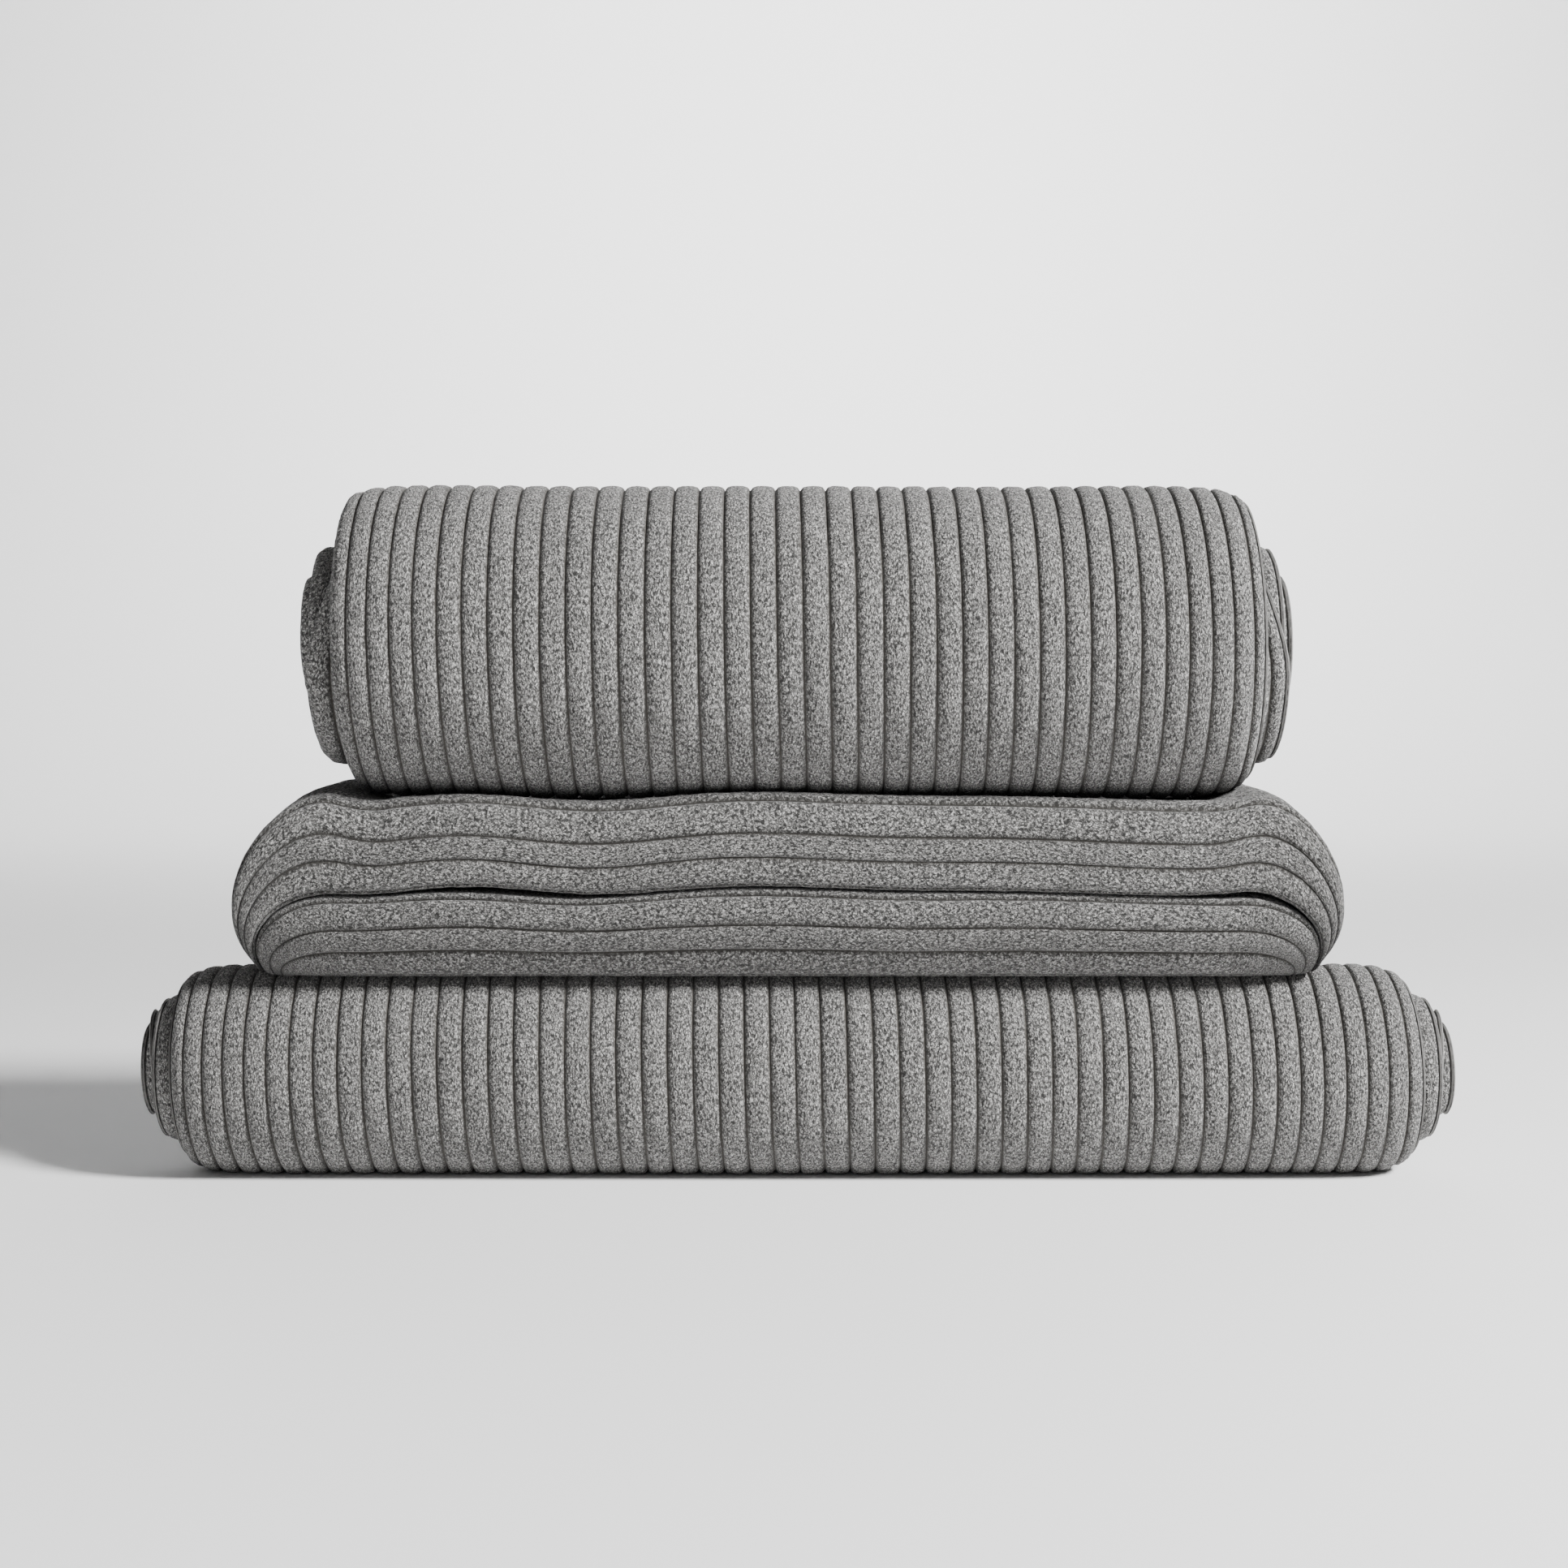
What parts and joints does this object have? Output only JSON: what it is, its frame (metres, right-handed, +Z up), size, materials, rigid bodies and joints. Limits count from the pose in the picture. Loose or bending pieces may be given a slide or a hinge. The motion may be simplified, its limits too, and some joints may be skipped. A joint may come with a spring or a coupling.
{
  "type": "bath towel set",
  "caption": "Stack of grey ribbed terry towels: a large roll on a folded bath towel, which lies across a longer, slimmer roll.",
  "frame": {"origin": "middle of the underside of the bottom roll, where the set stands", "axes": "+Z up, +X along the rolls to the right, the folded towel's two round folds face -Y"},
  "size_m": [0.7, 0.195, 0.3672],
  "materials": {
    "terry": "deep looped pile, matt",
    "hem": "flat woven, matt"
  },
  "bodies": {
    "bottom_towel": {"bottom_roll_cloth": "terry", "bottom_roll_left_hem": "hem", "bottom_roll_right_hem": "hem", "bottom_roll_inner_end_hem": "hem", "bottom_roll_outer_end_hem": "hem"},
    "middle_towel": {"folded_cloth": "terry", "folded_upper_side_hem": "hem", "folded_lower_side_hem": "hem", "folded_left_flap_end_hem": "hem", "folded_right_flap_end_hem": "hem"},
    "top_towel": {"top_roll_cloth": "terry", "top_roll_outer_side_hem": "hem", "top_roll_inner_side_hem": "hem", "top_roll_inner_end_hem": "hem", "top_roll_outer_end_hem": "hem"}
  },
  "joints": [
    {"name": "lift_folded_towel", "type": "slide", "parent": "bottom_towel", "child": "middle_towel", "axis": [0, 0, 1], "range_m": [0, 0.2]},
    {"name": "lift_top_roll", "type": "slide", "parent": "middle_towel", "child": "top_towel", "axis": [0, 0, 1], "range_m": [0, 0.2]}
  ]
}
